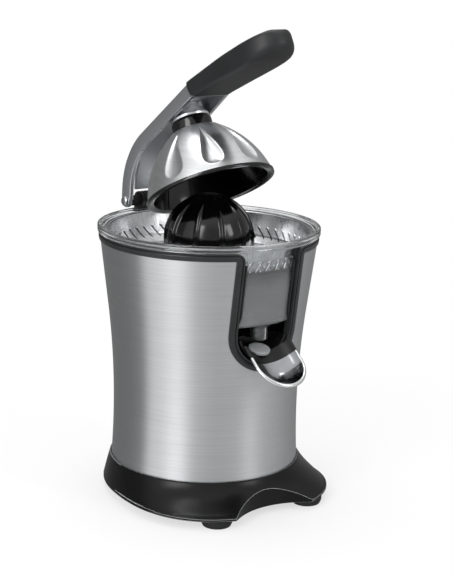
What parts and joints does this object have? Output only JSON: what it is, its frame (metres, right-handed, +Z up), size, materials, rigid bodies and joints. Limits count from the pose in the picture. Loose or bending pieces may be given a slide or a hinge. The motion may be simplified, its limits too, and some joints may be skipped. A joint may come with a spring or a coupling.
{
  "type": "citrus press juicer",
  "caption": "Lever citrus press juicer: waisted steel body on a black base, clear juice bowl with sieve, driven ribbed reamer, tilting spout and a hinged arm with a press dome",
  "frame": {"origin": "On the body's vertical axis at the level of the surface that the feet stand on", "axes": "+Z up, the spout and the front window face -Y, the arm's hinge is at the rear on +Y, X across"},
  "size_m": [0.1852, 0.2154, 0.3915],
  "materials": {
    "body_steel": "horizontally brushed",
    "press_steel": "polished with a fine satin grain",
    "sieve_steel": "pressed sheet",
    "spout_steel": "polished",
    "arm_aluminium": "satin cast",
    "fastener_steel": "plated",
    "motor_steel": "zinc grey",
    "base_plastic": "black satin",
    "trim_plastic": "charcoal satin",
    "inner_plastic": "black",
    "clear_plastic": "clear",
    "reamer_plastic": "glossy black",
    "grip_soft": "soft-touch charcoal",
    "foot_rubber": "matt",
    "pad_silicone": "light grey",
    "gear_nylon": "natural nylon",
    "gearbox_plastic": "grey",
    "bronze": "sintered",
    "copper": "enamelled",
    "carbon": "graphite",
    "board_green": "solder mask",
    "lead_red": "insulation",
    "lead_blue": "insulation",
    "plunger_red": "moulded"
  },
  "bodies": {
    "housing": {"base_housing": "base_plastic", "base_plate": "inner_plastic", "rubber_feet": "foot_rubber", "base_screws": "fastener_steel", "tie_screws": "fastener_steel", "body_shell": "body_steel", "inner_body": "inner_plastic", "bowl_well": "inner_plastic", "trim_bezel": "trim_plastic", "juice_bowl": "clear_plastic", "sieve": "sieve_steel", "hinge_bracket": "trim_plastic", "hinge_pin": "fastener_steel", "hinge_spacers": "gear_nylon", "bracket_screws": "fastener_steel", "gearbox_case": "gearbox_plastic", "gearbox_cover": "gearbox_plastic", "gearbox_screws": "fastener_steel", "output_bush": "bronze", "cluster_axle": "fastener_steel", "motor_can": "motor_steel", "motor_end_bell": "inner_plastic", "motor_bushes": "bronze", "field_magnets": "motor_steel", "carbon_brushes": "carbon", "microswitch": "inner_plastic", "spindle_bush": "bronze", "shaft_seal": "foot_rubber", "cord_gland": "inner_plastic", "rectifier_board": "board_green", "motor_leads": "lead_red", "switch_leads": "lead_blue", "spout_axle": "fastener_steel"},
    "motor_rotor": {"motor_shaft": "fastener_steel", "armature_core": "motor_steel", "armature_winding": "copper", "commutator": "copper", "cooling_fan": "inner_plastic", "motor_pinion": "bronze"},
    "gear_cluster": {"cluster_gear": "gear_nylon"},
    "output_gear": {"output_gear": "gear_nylon", "hub_clip": "fastener_steel", "return_spring": "fastener_steel"},
    "spindle": {"drive_spindle": "fastener_steel", "reamer": "reamer_plastic"},
    "switch_plunger": {"switch_plunger": "plunger_red"},
    "spout": {"spout_carrier": "trim_plastic", "spout_chute": "spout_steel", "seal_pad": "pad_silicone"},
    "arm": {"arm_casting": "arm_aluminium", "grip": "grip_soft", "grip_screws": "fastener_steel", "dome_boss": "arm_aluminium", "boss_screws": "fastener_steel", "dome_pin": "fastener_steel"},
    "dome": {"dome_shell": "press_steel", "dome_liner": "trim_plastic", "dome_collar": "reamer_plastic"}
  },
  "joints": [
    {"name": "output_spin", "type": "hinge", "parent": "housing", "child": "output_gear", "pos_m": [0, 0, 0.12], "axis": [0, 0, 1], "continuous": true},
    {"name": "cluster_spin", "type": "hinge", "parent": "housing", "child": "gear_cluster", "pos_m": [0, 0.033, 0.11], "axis": [0, 0, 1], "continuous": true},
    {"name": "motor_spin", "type": "hinge", "parent": "housing", "child": "motor_rotor", "pos_m": [0, 0, 0.07], "axis": [0, 0, 1], "continuous": true},
    {"name": "spindle_press", "type": "slide", "parent": "output_gear", "child": "spindle", "axis": [0, 0, -1], "range_m": [0, 0.0025], "stiffness_N_per_m": 1200, "springref_m": -0.003, "deforming": ["return_spring"]},
    {"name": "switch_press", "type": "slide", "parent": "housing", "child": "switch_plunger", "axis": [0, 0, -1], "range_m": [0, 0.0025], "stiffness_N_per_m": 200, "springref_m": -0.003},
    {"name": "spout_tilt", "type": "hinge", "parent": "housing", "child": "spout", "pos_m": [0, -0.045, 0.137], "axis": [-1, 0, 0], "range_deg": [0, 14.5]},
    {"name": "arm_hinge", "type": "hinge", "parent": "housing", "child": "arm", "pos_m": [0, 0.0915, 0.234], "axis": [-1, 0, 0], "range_deg": [-30, 35]},
    {"name": "dome_tilt", "type": "hinge", "parent": "arm", "child": "dome", "pos_m": [0, 0.03126, 0.31266], "axis": [1, 0, 0], "range_deg": [-3.5, 3.5]}
  ],
  "couplings": [
    {"joint": "cluster_spin", "follows": "output_spin", "ratio": -3.7143},
    {"joint": "motor_spin", "follows": "output_spin", "ratio": 16.714},
    {"joint": "switch_press", "follows": "spindle_press", "ratio": 1}
  ]
}
